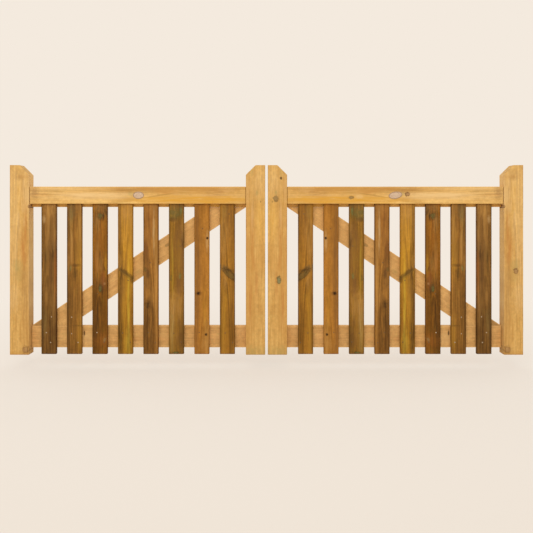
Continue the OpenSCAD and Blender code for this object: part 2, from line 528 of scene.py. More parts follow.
def axis(tree, vector, name):
    """One coordinate of a vector."""
    return node(tree, "ShaderNodeSeparateXYZ", {0: vector}).outputs[name]


def new_group(name, inputs, outputs):
    """An empty node group, the sockets it is given and those of its results."""
    group = bpy.data.node_groups.new(name, "ShaderNodeTree")
    for way, sockets in (("INPUT", inputs), ("OUTPUT", outputs)):
        for kind, labels in sockets.items():
            for label in labels:
                group.interface.new_socket(label, in_out=way, socket_type=f"NodeSocket{kind}")
    given = group.nodes.new("NodeGroupInput").outputs
    return group, given, group.nodes.new("NodeGroupOutput").inputs


def new_material(name):
    """A material, its node tree and its shader."""
    material = bpy.data.materials.new(name)
    material.use_nodes = True
    tree = material.node_tree
    return material, tree, tree.nodes["Principled BSDF"]


# ---- metal ----

def metal(name, base, worn, stain, metallic, rough, cell, stain_share):
    """Plated metal: mottled plating, fine scratches, worn patches and a film of dirt."""
    material, tree, shader = new_material(name)
    coords = node(tree, "ShaderNodeTexCoord").outputs["Object"]
    inputs = {"Vector": coords, "Scale": cell, "Detail": 4.0, "Roughness": 0.6}
    mottle = node(tree, "ShaderNodeTexNoise", inputs).outputs[0]
    scratch = grain_noise(tree, coords, (900, 2600, 240), 1.0, 2.0)[0]
    inputs = {"Vector": coords, "Scale": cell * 0.35, "Detail": 5.0}
    grime = node(tree, "ShaderNodeTexNoise", inputs)
    colour = blend(tree, ease(tree, mottle, 0.35, 0.65), srgb(*base), srgb(*worn))
    share = times(tree, ease(tree, grime.outputs[0], 0.45, 0.7), stain_share)
    colour = blend(tree, share, colour, srgb(*stain))
    roughness = affine(tree, mottle, 0.3, rough)
    roughness = affine(tree, share, 0.3, roughness)
    height = calc(tree, "ADD", times(tree, scratch, 0.4), mottle)
    bump = node(tree, "ShaderNodeBump", {"Height": height, "Strength": 0.3, "Distance": 0.0002})
    feed(tree, shader.inputs, {
        "Base Color": colour, "Metallic": metallic, "Roughness": roughness,
        "Normal": bump.outputs[0],
    })
    return material


RUST_FILM = (124, 78, 42)
BROWN_FILM = (110, 76, 40)
# Base, worn and stain colours, how metallic and rough, mottles per metre, stain's share.
METAL_LOOKS = {
    "zinc": ((172, 172, 170), (156, 155, 152), RUST_FILM, 0.85, 0.32, 520.0, 0.22),
    "screw_zinc": ((196, 190, 172), (160, 152, 132), RUST_FILM, 0.9, 0.25, 500.0, 0.3),
    "nail_bright": ((196, 176, 146), (164, 140, 106), BROWN_FILM, 0.3, 0.4, 600.0, 0.3),
    "nail_dull": ((120, 92, 58), (92, 64, 34), BROWN_FILM, 0.3, 0.5, 600.0, 0.6),
    "badge_plate": ((212, 186, 158), (196, 166, 138), (170, 128, 92), 0.25, 0.35, 320.0, 0.35),
    # The lip's colour is darker than the plate's: partly a darker border, partly painted shade of
    # its lower side.
    "badge_lip": ((178, 148, 122), (164, 132, 104), (136, 102, 70), 0.25, 0.4, 320.0, 0.35),
}
METALS = {name: metal(name, *looks) for name, looks in METAL_LOOKS.items()}


# ---- wood ----

def pine_group():
    """Sawn pine in a timber's own coordinates: x across, y deep and z along the grain."""
    inputs = {
        "Vector": ("Coords", "Pith"), "Color": ("Light", "Mid", "Dark", "Tint"),
        "Float": ("Seed", "Tint share", "Rings", "Ring width", "Foot"),
    }
    outputs = {"Color": ("Colour",), "Float": ("Height",)}
    tree, given, result = new_group("pine", inputs, outputs)
    coords, seed = given["Coords"], given["Seed"]
    wander = grain_noise(tree, coords, (9, 9, 1.3), seed, 2.0)["Color"]
    bent = vmath(tree, "ADD", coords, sway(tree, wander, (0.02, 0.02, 0.0)))

    from_pith = vmath(tree, "SUBTRACT", bent, given["Pith"])
    radius = vmath(tree, "LENGTH", vmath(tree, "MULTIPLY", from_pith, (1, 1, 0)))
    radius = affine(tree, axis(tree, bent, "Z"), 0.009, radius)
    phase = calc(tree, "DIVIDE", radius, given["Ring width"])
    year_seed = calc(tree, "ADD", calc(tree, "FLOOR", phase), seed)
    season = calc(tree, "FRACT", phase)
    year_tone = node(tree, "ShaderNodeTexWhiteNoise", {"W": year_seed}, noise_dimensions="1D")
    late = times(tree, ease(tree, season, 0.2, 0.88), ease(tree, season, 0.9, 1.0, 1, 0))
    late = times(tree, late, affine(tree, year_tone.outputs["Value"], 0.75, 0.25))

    def strands(stretch, offset, detail=3.0):
        own_seed = calc(tree, "ADD", seed, offset)
        return grain_noise(tree, bent, stretch, own_seed, detail, 0.6)[0]

    patch = ease(tree, strands((24, 24, 3.4), 1.7), 0.36, 0.64)
    streak = ease(tree, strands((85, 85, 2.4), 3.1), 0.34, 0.66)
    line = ease(tree, strands((300, 300, 7), 5.3), 0.5, 0.72)
    band = ease(tree, strands((135, 135, 4.5), 6.1), 0.46, 0.66)
    gleam = ease(tree, strands((150, 150, 6), 8.3), 0.5, 0.68)
    blot = strands((46, 46, 30), 7.9, 4.0)
    mottle = strands((95, 95, 75), 11.9, 2.0)
    fleck = ease(tree, strands((620, 620, 45), 9.7, 2.0), 0.66, 0.76)
    fibre = grain_noise(tree, coords, (1400, 1400, 26), seed, 2.0)[0]

    share = affine(tree, streak, 0.45, times(tree, patch, 0.55))
    colour = blend(tree, share, given["Light"], given["Mid"])
    colour = blend(tree, times(tree, gleam, 0.4), colour, given["Light"])
    dark = affine(tree, band, 0.6, late)
    dark = affine(tree, line, 0.6, dark)
    dark = affine(tree, fleck, 0.25, dark)
    dark = calc(tree, "MULTIPLY", dark, given["Rings"], clamp=True)
    colour = blend(tree, dark, colour, given["Dark"])
    tint = times(tree, ease(tree, blot, 0.52, 0.68), given["Tint share"])
    colour = blend(tree, tint, colour, given["Tint"])
    tone = affine(tree, fibre, 0.24, 0.88)
    own_z = axis(tree, coords, "Z")
    # The tone darkens over the lower half by the Foot factor; the first 7 mm from the timber's
    # starting end are darkened further as painted shade there, at the feet of stiles, pales and
    # brace and at the rails' joints with the hanging stile.
    for factor in (
        affine(tree, blot, 0.6, 0.7), affine(tree, mottle, 0.5, 0.75),
        ease(tree, own_z, 0.0, 0.5, given["Foot"]), ease(tree, own_z, 0.0, 0.007, 0.72),
    ):
        tone = times(tree, tone, factor)
    height = affine(tree, late, 0.5, times(tree, fibre, 0.8))
    feed(tree, result, {"Colour": scale_by(tree, colour, tone), "Height": height})
    return tree


def mark_group():
    """A knot, stain or streak, in places a patch of painted light: its core, rim and halo, and how
    it bends the grain.
    """
    inputs = {"Vector": ("Coords", "Place", "Turn", "Size"), "Float": ("Bend",)}
    outputs = {"Vector": ("Coords",), "Float": ("Core", "Rim", "Halo", "Ring")}
    tree, given, result = new_group("mark", inputs, outputs)
    coords = given["Coords"]
    inputs = {
        "Vector": coords, "Location": given["Place"],
        "Rotation": given["Turn"], "Scale": given["Size"],
    }
    local = node(tree, "ShaderNodeMapping", inputs, vector_type="TEXTURE").outputs[0]
    flat = vmath(tree, "MULTIPLY", local, (1, 0, 1))
    drift = vmath(tree, "ADD", local, given["Place"])
    inputs = {"Vector": drift, "Scale": 1.5, "Detail": 5.0, "Roughness": 0.65}
    ragged = node(tree, "ShaderNodeTexNoise", inputs)
    ragged = sway(tree, ragged.outputs["Color"], (2.8, 0, 2.8))
    reach = vmath(tree, "LENGTH", vmath(tree, "ADD", flat, ragged))
    core = ease(tree, reach, 0.75, 1.05, 1, 0)
    rim = times(tree, ease(tree, reach, 0.6, 0.95), ease(tree, reach, 1.0, 1.4, 1, 0))
    strands = grain_noise(tree, coords, (210, 210, 12), 2.5, 3.0)[0]
    fade, fibrous = ease(tree, reach, 0.4, 2.3, 1, 0), ease(tree, strands, 0.3, 0.62, 0.25)
    halo = times(tree, fade, fibrous)
    ring = calc(tree, "SINE", times(tree, reach, 17.0))
    ring = affine(tree, ring, 0.5, 0.5)

    drawn = vmath(tree, "LENGTH", vmath(tree, "MULTIPLY", flat, (0.5, 0, 0.3)))
    pull = times(tree, ease(tree, drawn, 0.0, 1.0, 1, 0), given["Bend"])
    offset = vmath(tree, "SUBTRACT", coords, given["Place"])
    offset = vmath(tree, "MULTIPLY", offset, (-1, 0, 0))
    coords = vmath(tree, "ADD", coords, scale_by(tree, offset, pull))
    feed(tree, result, {"Coords": coords, "Core": core, "Rim": rim, "Halo": halo, "Ring": ring})
    return tree


PINE = pine_group()
MARK = mark_group()


# How a kind of mark looks: the colours and strengths of its halo, core and rim, and how it
# bends the grain. Stains and streaks have a halo alone.
Kind = namedtuple(
    "Kind", "halo halo_share bend core core_share rim rim_share", defaults=(0.0, None, 0, None, 0)
)
# A knot, stain or streak, in places a patch of painted light, placed from the leaf's outer foot
# corner, in millimetres.
Mark = namedtuple("Mark", "kind x z width length strength tilt", defaults=(1.0, 0.0))

KNOT = Kind((150, 98, 44), 0.5, 0.75, (140, 92, 44), 0.8, (84, 50, 22), 0.85)
BLACK = Kind((92, 56, 22), 0.5, 0.6, (44, 28, 12), 0.9, (56, 34, 14), 0.85)
GREY = Kind((178, 132, 70), 0.4, 0.6, (150, 124, 80), 0.75, (112, 88, 50), 0.65)
RINGED = Kind((178, 128, 70), 0.4, 0.6, (168, 130, 92), 0.7, (104, 68, 36), 0.8)
TEAL = Kind((176, 132, 70), 0.5, 0.6, (126, 134, 96), 0.8, (92, 84, 50), 0.75)
GREEN = Kind((78, 56, 22), 0.6, 0.7, (96, 104, 58), 0.75, (72, 58, 26), 0.6)
JADE = Kind((98, 98, 44), 0.5, 0.3, (120, 142, 90), 0.7, (92, 104, 56), 0.4)
SPIKE = Kind((84, 60, 24), 0.6, 0.4, (104, 88, 46), 0.75, (66, 46, 20), 0.85)
MOSS = Kind((150, 142, 84), 0.3)
OLIVE = Kind((96, 92, 40), 0.75)
RUST = Kind((176, 102, 44), 0.5)
TAN = Kind((192, 142, 74), 0.7)
LEMON = Kind((204, 168, 58), 0.7)
SLATE = Kind((104, 86, 54), 0.7, 0.3)
UMBER = Kind((118, 80, 42), 0.6, 0.1)
INK = Kind((46, 34, 16), 0.95, 0.2)
SHADE = Kind((64, 42, 18), 0.75, 0.2)
OCHRE = Kind((194, 142, 72), 0.7)
# Amber patches in the wood; along the top rail's lip the same colour is laid as painted light.
AMBER_AND_PAINTED_LIGHT = Kind((214, 158, 62), 0.7)
STAIN = Kind((150, 108, 66), 0.55)
GOLD = Kind((204, 150, 44), 0.6)
# Pale patches in the wood; the same colour is also laid as painted light on the hanging stile's
# side face and as a painted highlight along the top rail's top edge.
BLEACH_AND_PAINTED_LIGHT = Kind((232, 194, 134), 0.45)


def local_frame(timber):
    """The turn from the left leaf's frame to the timber's own."""
    angle = math.atan2(timber.grain.z, timber.grain.x) - math.pi / 2
    return Euler((0, angle, 0)).to_matrix()


def timber_coords(tree, timber, side):
    """The timber's own coordinates: x across from its middle, y from its front, z along."""
    turn = local_frame(timber)
    start = -timber.origin
    scale = (1, 1, 1)
    if side == "right":
        start = start + Vector((MIRROR_X, 0, 0))
        scale = (-1, 1, 1)
    coords = node(tree, "ShaderNodeTexCoord")
    inputs = {
        "Vector": coords.outputs["Object"], "Location": turn @ start,
        "Rotation": turn.to_euler(), "Scale": scale,
    }
    mapped = node(tree, "ShaderNodeMapping", inputs, vector_type="POINT").outputs[0]
    return mapped, coords.outputs["Normal"]


def end_grain(tree, normal, timber, side):
    """How far a face looks along the grain."""
    grain = timber.grain.copy()
    if side == "right":
        grain.x = -grain.x
    facing = calc(tree, "ABSOLUTE", vmath(tree, "DOT_PRODUCT", normal, grain))
    return ease(tree, facing, 0.5, 0.8)


def arris_shading_share(tree, coords, timber):
    """1 on the timber's long edges, falling to 0 a few millimetres away: the share of painted edge
    shading, shade on stiles and pales, highlight on rails and brace.
    """
    across = calc(tree, "ABSOLUTE", axis(tree, coords, "X"))
    across = calc(tree, "SUBTRACT", timber.half_w, across)
    half = timber.depth / 2
    deep = calc(tree, "ABSOLUTE", calc(tree, "SUBTRACT", axis(tree, coords, "Y"), half))
    deep = calc(tree, "SUBTRACT", half, deep)
    return ease(tree, calc(tree, "MAXIMUM", across, deep), 0.0008, 0.006, 1, 0)


def show_mark(tree, mark, made, colour):
    """Lays a mark's halo, rim and core over the colour of the wood."""
    kind = mark.kind
    share = times(tree, made.outputs["Halo"], kind.halo_share * mark.strength)
    colour = blend(tree, share, colour, srgb(*kind.halo))
    if not kind.core_share:
        return colour
    share = times(tree, made.outputs["Core"], kind.core_share * mark.strength)
    rings = times(tree, made.outputs["Ring"], 0.45)
    core, rim = srgb(*kind.core), srgb(*kind.rim)
    colour = blend(tree, share, colour, blend(tree, rings, core, rim))
    share = times(tree, made.outputs["Rim"], kind.rim_share * mark.strength)
    return blend(tree, share, colour, rim)


WOOD_SPECULAR = 0.1


def timber_material(timber, side, seed, marks):
    """A timber's pine with its marks, painted edge shading in its tones' edge colour, and end
    grain.
    """
    material, tree, shader = new_material(f"{side}_{timber.part}_pine")
    own, normal = timber_coords(tree, timber, side)
    coords = own
    shown = []
    turn = local_frame(timber)
    for mark in marks:
        place = turn @ (leaf_point(mark.x, mark.z) - timber.origin)
        inputs = {
            "Coords": coords, "Place": (place.x, 0, place.z),
            "Turn": (0, math.radians(mark.tilt), 0),
            "Size": (mm(mark.width) / 2, 1, mm(mark.length) / 2), "Bend": mark.kind.bend,
        }
        made = node(tree, "ShaderNodeGroup", inputs, node_tree=MARK)
        coords = made.outputs["Coords"]
        shown.append((mark, made))
    pine = node(tree, "ShaderNodeGroup", {"Coords": coords, "Seed": seed}, node_tree=PINE)
    feed(tree, pine.inputs, {k: v for k, v in timber.tones.items() if k in pine.inputs})
    colour = pine.outputs["Colour"]
    for mark, made in shown:
        colour = show_mark(tree, mark, made, colour)
    # Painted shade along the eased edges of stiles and pales, painted highlight along those of the
    # rails and brace.
    edge = times(tree, arris_shading_share(tree, own, timber), timber.tones["Edge"])
    colour = blend(tree, edge, colour, timber.tones["Edge tone"])
    ends = times(tree, end_grain(tree, normal, timber, side), 0.2)
    colour = blend(tree, ends, colour, timber.tones["Dark"])
    rough = ease(tree, pine.outputs["Height"], 0.0, 1.2, 0.74, 0.56)
    inputs = {"Height": pine.outputs["Height"], "Strength": 0.45, "Distance": 0.0006}
    feed(tree, shader.inputs, {
        "Base Color": colour, "Roughness": rough, "Specular IOR Level": WOOD_SPECULAR,
        "Normal": node(tree, "ShaderNodeBump", inputs).outputs[0],
    })
    return material


def tones(light, mid, dark, rings=0.45, ring_width=3.4, pith=(12, 95), edge=0.35,
          tint_share=0.2, foot=1.0, tint=(150, 142, 84), arris_shading_tone=None):
    """A timber's colours, 0 to 255, and its grain, with ring width and pith in millimetres."""
    return {
        # The edge colour, the dark one unless another is given, is painted along the eased edges
        # by the Edge share: painted shade when dark, painted highlight when pale.
        "Edge tone": srgb(*(arris_shading_tone or dark)),
        "Light": srgb(*light), "Mid": srgb(*mid), "Dark": srgb(*dark), "Tint": srgb(*tint),
        "Tint share": tint_share, "Rings": rings, "Ring width": mm(ring_width),
        "Pith": (*mm(*pith), 0.0), "Edge": edge, "Foot": foot,
    }


# Edge colour of the rails and brace: a painted highlight along their eased edges.
ARRIS_HIGHLIGHT_GOLD = (238, 192, 124)
STILE_TONES = tones((226, 182, 108), (201, 153, 82), (160, 112, 54), 0.4, 4.2, edge=0.1)
RAIL_TONES = tones(
    (238, 194, 118), (212, 164, 90), (168, 122, 62), 0.4, 3.6, (20, 120), 0.3, arris_shading_tone=ARRIS_HIGHLIGHT_GOLD
)
BACK_TONES = tones(
    (227, 177, 110), (207, 157, 93), (170, 122, 68), 0.2, 3.0, (30, 80), 0.55, arris_shading_tone=ARRIS_HIGHLIGHT_GOLD
)

OLIVE_TINT = (94, 86, 30)
PALE_TONES = [tones(*row, tint=OLIVE_TINT) for row in (
    ((152, 106, 48), (110, 73, 29), (66, 42, 14), 0.5, 3.0, (-8, 70), 0.6, 0.15, 0.76),
    ((178, 124, 54), (132, 88, 32), (84, 54, 18), 0.5, 3.2, (10, 60), 0.6, 0.2, 0.84),
    ((164, 106, 32), (121, 76, 19), (72, 44, 8), 0.5, 2.8, (-4, 50), 0.6, 0.25, 0.78),
    ((204, 146, 46), (157, 107, 30), (98, 66, 16), 0.45, 3.6, (22, 80), 0.5, 0.25, 0.88),
    ((180, 124, 54), (131, 84, 28), (84, 50, 12), 0.5, 3.0, (-14, 90), 0.6, 0.1, 0.82),
    ((172, 122, 42), (134, 92, 28), (86, 60, 16), 0.5, 3.2, (6, 60), 0.6, 0.25, 0.92),
    ((184, 124, 50), (154, 101, 34), (110, 70, 20), 0.4, 2.6, (16, 120), 0.5, 0.05),
    ((178, 122, 42), (143, 96, 30), (92, 62, 18), 0.5, 3.2, (-18, 70), 0.6, 0.2, 0.92),
)]


# ---- the timbers of a leaf ----

def leaf_point(x, z):
    """A point in the left leaf's front plane, in millimetres from its foot corner."""
    return Vector((LEAF_X + mm(x), FRONT_Y, FOOT_Z + mm(z)))


UP = Vector((0, 0, 1))
LEVEL = Vector((1, 0, 0))


def rectangle(a_low, b_low, a_high, b_high):
    return [(a_low, b_low), (a_high, b_low), (a_high, b_high), (a_low, b_high)]


def upright(part, low, high, outline, arris, looks):
    """A timber with its grain upright, given as seen from the front."""
    middle = Vector(((low.x + high.x) / 2, low.y, low.z))
    return Timber(
        part, "xz", outline, (low.y, high.y), UP, arris, middle,
        (high.x - low.x) / 2, high.y - low.y, looks,
    )


def stile(part, low, high, cut_high_x):
    """A stile with its top corner cut at 45 degrees, on the side of the infill."""
    if cut_high_x:
        top = [(high.x, high.z - TOP_CUT), (high.x - TOP_CUT, high.z), (low.x, high.z)]
    else:
        top = [(high.x, high.z), (low.x + TOP_CUT, high.z), (low.x, high.z - TOP_CUT)]
    outline = [(low.x, low.z), (high.x, low.z)] + top
    return upright(part, low, high, outline, STILE_ARRIS, STILE_TONES)


def rail(part, low, high, outline, arris, looks):
    """A level rail between the stiles, given in section."""
    middle = Vector((BAY[0], low.y, (low.z + high.z) / 2))
    span = (BAY[0] + JOINT_GAP, BAY[1] - JOINT_GAP)
    return Timber(
        part, "yz", outline, span, LEVEL, arris, middle,
        (high.z - low.z) / 2, high.y - low.y, looks,
    )


def top_rail():
    """The top rail, rebated along its front lower edge for the tops of the pales."""
    low, high = top_low, top_high
    outline = [
        (low.y, REBATE_Z), (INFILL_Y, REBATE_Z), (INFILL_Y, low.z),
        (high.y, low.z), (high.y, high.z), (low.y, high.z),
    ]
    return rail("top_rail", low, high, outline, STILE_ARRIS, RAIL_TONES)


def bottom_rail():
    low, high = bottom_low, bottom_high
    outline = rectangle(low.y, low.z, high.y, high.z)
    return rail("bottom_rail", low, high, outline, BACK_ARRIS, BACK_TONES)


def brace():
    """The diagonal, cut level at both ends, corner to corner of the bay."""
    low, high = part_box("left_brace")
    co = [vert.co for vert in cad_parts["left_brace"].data.vertices]
    foot_x = max(point.x for point in co if point.z < low.z + JOINT_GAP)
    foot = foot_x - low.x
    outline = [(low.x, low.z), (foot_x, low.z), (high.x, high.z), (high.x - foot, high.z)]
    grain = Vector((high.x - foot - low.x, 0, high.z - low.z)).normalized()
    middle = Vector((low.x + foot / 2, low.y, low.z))
    return Timber(
        "brace", "xz", outline, (low.y, high.y), grain, BACK_ARRIS, middle,
        foot * grain.z / 2, high.y - low.y, BACK_TONES,
    )


def pale(number):
    low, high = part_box(f"left_pale_{number}")
    outline = rectangle(low.x, low.z, high.x, high.z)
    return upright(f"pale_{number}", low, high, outline, PALE_ARRIS, PALE_TONES[number - 1])


# Marks of both leaves' timbers, in the order of laying: kind, place, width and length, then
# strength and tilt where they aren't 1 and 0.
LEAF_MARKS = {}
LEAF_MARKS["hanging_stile"] = [
    (OCHRE, 62, 845, 60, 12, 0.8), (AMBER_AND_PAINTED_LIGHT, 48, 760, 18, 110, 0.6), (BLEACH_AND_PAINTED_LIGHT, 76, 770, 46, 130, 1.1),
    # The pale marks at 94 mm, along the inner edge and side face of the hanging stile, are painted
    # light that brightens the side face.
    (BLEACH_AND_PAINTED_LIGHT, 94, 480, 8, 800, 1.1), (BLEACH_AND_PAINTED_LIGHT, 22, 530, 34, 260, 0.8),
    (BLEACH_AND_PAINTED_LIGHT, 18, 812, 34, 150, 0.7), (BLEACH_AND_PAINTED_LIGHT, 20, 270, 34, 90, 0.8), (BLEACH_AND_PAINTED_LIGHT, 94, 735, 8, 60, 0.9),
    (BLEACH_AND_PAINTED_LIGHT, 94, 330, 8, 260, 0.8), (OCHRE, 70, 540, 14, 200, 0.9), (RUST, 76, 600, 8, 120, 0.7),
    (RUST, 60, 500, 12, 70, 0.8), (RUST, 74, 458, 12, 46, 0.8), (STAIN, 44, 860, 34, 30, 0.5),
    (STAIN, 46, 838, 30, 16, 0.5), (MOSS, 37, 424, 26, 40, 1.4), (MOSS, 46, 376, 30, 50),
    (OCHRE, 66, 370, 40, 130, 0.6), (STAIN, 76, 230, 26, 260, 0.9), (OCHRE, 70, 120, 40, 190, 0.8),
    (UMBER, 80, 16, 40, 26, 0.8), (OCHRE, 40, 2, 90, 20), (RINGED, 75, 26, 26, 28, 0.6),
    (RINGED, 91, 704, 9, 12, 0.9), (INK, 104, 433, 8, 14, 0.8), (RUST, 62, 545, 14, 90, 0.6),
    (OCHRE, 84, 515, 12, 80, 0.6), (BLEACH_AND_PAINTED_LIGHT, 41, 650, 8, 60, 0.8), (BLEACH_AND_PAINTED_LIGHT, 68, 628, 8, 30, 0.6),
]
LEAF_MARKS["meeting_stile"] = [
    (OCHRE, 1138, 380, 40, 640, 1.1), (RUST, 1150, 560, 12, 160, 0.7),
    (AMBER_AND_PAINTED_LIGHT, 1186, 640, 24, 160, 0.6), (OCHRE, 1172, 460, 70, 110, 0.8),
    (BLEACH_AND_PAINTED_LIGHT, 1183, 810, 50, 90, 0.6), (RUST, 1140, 250, 10, 160, 0.8),
    (RUST, 1170, 330, 10, 90, 0.7), (MOSS, 1146, 866, 14, 26), (MOSS, 1173, 768, 10, 16, 1.4),
    (INK, 1189, 726, 4, 6, 0.7), (MOSS, 1165, 18, 90, 34, 1.3), (BLEACH_AND_PAINTED_LIGHT, 1128, 790, 14, 100, 0.6),
    (BLEACH_AND_PAINTED_LIGHT, 1150, 660, 8, 90, 0.8), (RUST, 1160, 443, 10, 50, 0.6),
    (RUST, 1122, 540, 8, 200, 0.4),
]
LEAF_MARKS["top_rail"] = [
    (STAIN, 578, 788, 16, 130), (SLATE, 562, 781, 7, 50, 0.6), (UMBER, 600, 779, 14, 160, 0.7),
    (STAIN, 540, 768, 50, 60, 0.6), (STAIN, 880, 785, 16, 330, 0.5),
    # The pale strip at 789 mm, along the rail's top edge, is a painted highlight on the top arris.
    (GOLD, 850, 764, 12, 300, 0.35), (BLEACH_AND_PAINTED_LIGHT, 330, 789, 8, 380, 0.9),
    (BLEACH_AND_PAINTED_LIGHT, 395, 748, 14, 230, 1.5), (BLEACH_AND_PAINTED_LIGHT, 960, 750, 8, 200, 0.8),
    (BLEACH_AND_PAINTED_LIGHT, 250, 762, 64, 330, 0.6), (STAIN, 825, 781, 16, 50, 0.6),
    (STAIN, 938, 783, 14, 50, 0.6), (STAIN, 1052, 783, 14, 60, 0.8), (RUST, 825, 735, 14, 50, 0.3),
    (RUST, 938, 735, 14, 50, 0.3), (BLEACH_AND_PAINTED_LIGHT, 610, 741, 14, 190, 0.5),
    (STAIN, 116, 768, 44, 26, 1.1), (UMBER, 178, 777, 4, 110, 0.6), (RUST, 160, 758, 8, 60, 0.8),
    (BLEACH_AND_PAINTED_LIGHT, 420, 760, 14, 260, 2.0), (RUST, 668, 787, 6, 90, 1.3), (UMBER, 745, 789, 6, 14, 0.7),
    (UMBER, 715, 757, 4, 120, 0.9, -9), (RUST, 735, 772, 12, 60, 0.8, -4),
    (BLEACH_AND_PAINTED_LIGHT, 795, 757, 14, 30, 1, 20), (MOSS, 830, 775, 26, 40, 0.6),
    (RUST, 998, 780, 16, 60, 0.9), (BLEACH_AND_PAINTED_LIGHT, 1010, 757, 8, 150), (RUST, 955, 742, 26, 46, 0.6),
    (BLEACH_AND_PAINTED_LIGHT, 880, 757, 12, 110, 0.8), (OCHRE, 800, 786, 26, 460, 1.3),
    (OCHRE, 930, 760, 90, 330, 0.8), (AMBER_AND_PAINTED_LIGHT, 880, 735, 24, 440, 1.5),
    (STAIN, 980, 770, 20, 60, 0.6), (MOSS, 574, 762, 14, 22, 1.4),
    # The long amber strip at 704 mm lies along the rebate's lip, in the shade under the rail's
    # front: painted light that brightens it.
    (AMBER_AND_PAINTED_LIGHT, 605, 704, 14, 2600, 1.3), (BLEACH_AND_PAINTED_LIGHT, 1029, 786, 22, 50, 0.7),
]
LEAF_MARKS["bottom_rail"] = [
    (RUST, 620, 70, 12, 180, 0.6), (BLEACH_AND_PAINTED_LIGHT, 369, 71, 50, 60, 0.6), (UMBER, 969, 119, 26, 40, 0.4),
    (UMBER, 851, 71, 50, 40, 0.35), (BLACK, 345, 98, 18, 6, 0.8),
]
LEAF_MARKS["brace"] = [
    (MOSS, 600, 392, 14, 22), (OCHRE, 740, 488, 110, 330, 0.25), (STAIN, 722, 548, 36, 50, 0.5),
    (GREY, 742, 519, 12, 18, 0.6),
]
LEAF_MARKS["pale_1"] = [
    (TAN, 192, 735, 46, 110, 0.8), (UMBER, 208, 600, 16, 120, 0.4), (TAN, 176, 600, 14, 240, 0.7),
    (SHADE, 194, 430, 14, 220, 0.6), (SHADE, 151, 470, 11, 420, 0.6),
    (UMBER, 192, 440, 16, 240, 0.7), (BLEACH_AND_PAINTED_LIGHT, 158, 642, 10, 24, 0.6),
    (SHADE, 203, 490, 24, 50, 0.8), (RUST, 211, 360, 9, 210, 0.9), (MOSS, 160, 150, 20, 90, 0.6),
    (SHADE, 153, 120, 12, 240, 0.9), (SHADE, 196, 130, 26, 240, 0.6),
    (SHADE, 169, 433, 54, 70, 0.25), (TAN, 205, 245, 16, 140, 0.5), (TAN, 205, 560, 14, 110, 0.5),
    (SHADE, 187, 510, 14, 70, 0.25), (SHADE, 187, 370, 14, 60, 0.25),
    (SHADE, 187, 50, 14, 80, 0.25), (SHADE, 207, 205, 16, 60, 0.25),
    (SHADE, 207, 509, 14, 50, 0.2), (SHADE, 171, 585, 14, 60, 0.2), (TAN, 171, 281, 14, 60, 0.35),
]
LEAF_MARKS["pale_2"] = [
    (SLATE, 288, 690, 40, 60, 0.7), (MOSS, 286, 630, 10, 130, 0.8), (TAN, 330, 715, 14, 130, 0.7),
    (UMBER, 326, 545, 18, 90, 0.7), (GOLD, 324, 500, 24, 170, 0.7), (SHADE, 305, 385, 16, 40, 0.8),
    (SHADE, 308, 424, 30, 10, 0.8), (JADE, 284, 410, 9, 22, 0.5, 8),
    (SHADE, 274, 300, 14, 520, 0.7), (SHADE, 272, 660, 12, 200, 0.7),
    (SHADE, 292, 280, 14, 140, 0.5), (UMBER, 318, 520, 30, 120, 0.6),
    (SHADE, 272, 150, 12, 220, 0.5), (TAN, 327, 590, 14, 80, 0.5), (TAN, 289, 520, 10, 120, 0.9),
    (UMBER, 311, 620, 14, 60, 0.5), (TAN, 275, 433, 14, 60, 0.4), (SHADE, 329, 90, 16, 130, 0.2),
    (GOLD, 330, 90, 22, 130, 0.6), (INK, 323, 136, 36, 6, 0.5),
]
LEAF_MARKS["pale_3"] = [
    (SLATE, 440, 700, 40, 60, 0.7), (GREEN, 425, 658, 24, 26, 0.8), (INK, 437, 652, 7, 26),
    (INK, 416, 692, 8, 20, 0.7, 30), (INK, 449, 676, 7, 18, 0.6, -20),
    (RUST, 425, 560, 26, 170, 0.3), (RUST, 408, 440, 16, 60, 0.6), (GOLD, 452, 425, 10, 60, 0.6),
    (INK, 447, 405, 4, 16, 0.8, -12), (SHADE, 432, 330, 40, 50, 0.5), (GREEN, 426, 314, 14, 32),
    (INK, 437, 316, 6, 34, 0.9, 6), (BLEACH_AND_PAINTED_LIGHT, 444, 336, 6, 8), (SHADE, 408, 150, 34, 200, 0.8),
    (RUST, 436, 66, 46, 44, 0.5), (TAN, 414, 460, 14, 120, 0.5), (RUST, 440, 356, 14, 60, 0.9),
    (GREY, 447, 70, 12, 20, 0.6, 20), (TAN, 413, 620, 14, 60, 0.6),
    (SHADE, 393, 662, 14, 140, 0.3), (TAN, 431, 433, 12, 60, 0.4), (SHADE, 414, 129, 14, 60, 0.2),
    (SHADE, 413, 129, 16, 70, 0.45), (TAN, 414, 699, 24, 26, 0.45), (SLATE, 405, 635, 16, 50, 0.4),
    (UMBER, 428, 340, 44, 50, 0.5),
]
LEAF_MARKS["pale_4"] = [
    (TAN, 552, 725, 46, 110, 0.9), (GOLD, 556, 420, 24, 300, 0.6), (SHADE, 520, 190, 16, 420, 1.1),
    (SHADE, 518, 660, 10, 240, 0.9), (UMBER, 534, 350, 22, 130, 0.8),
    (UMBER, 528, 250, 20, 160, 0.5), (SHADE, 524, 460, 10, 170, 0.6),
    (SHADE, 524, 100, 14, 130, 0.7), (UMBER, 545, 450, 14, 60, 0.6),
    (UMBER, 572, 130, 14, 60, 0.6), (LEMON, 560, 250, 7, 280), (OLIVE, 560, 70, 9, 100, 0.5),
    (LEMON, 556, 46, 20, 90, 0.7), (SHADE, 520, 372, 14, 50, 0.7), (TAN, 517, 436, 12, 60, 0.6),
    (SHADE, 578, 352, 14, 22, 0.8), (SHADE, 552, 383, 76, 9, 0.9, 37),
    (SPIKE, 556, 378, 90, 20, 0.3, 37), (GOLD, 535, 230, 16, 180, 0.4),
    (TAN, 545, 625, 76, 150, 0.35), (SHADE, 555, 357, 40, 50, 0.18),
]
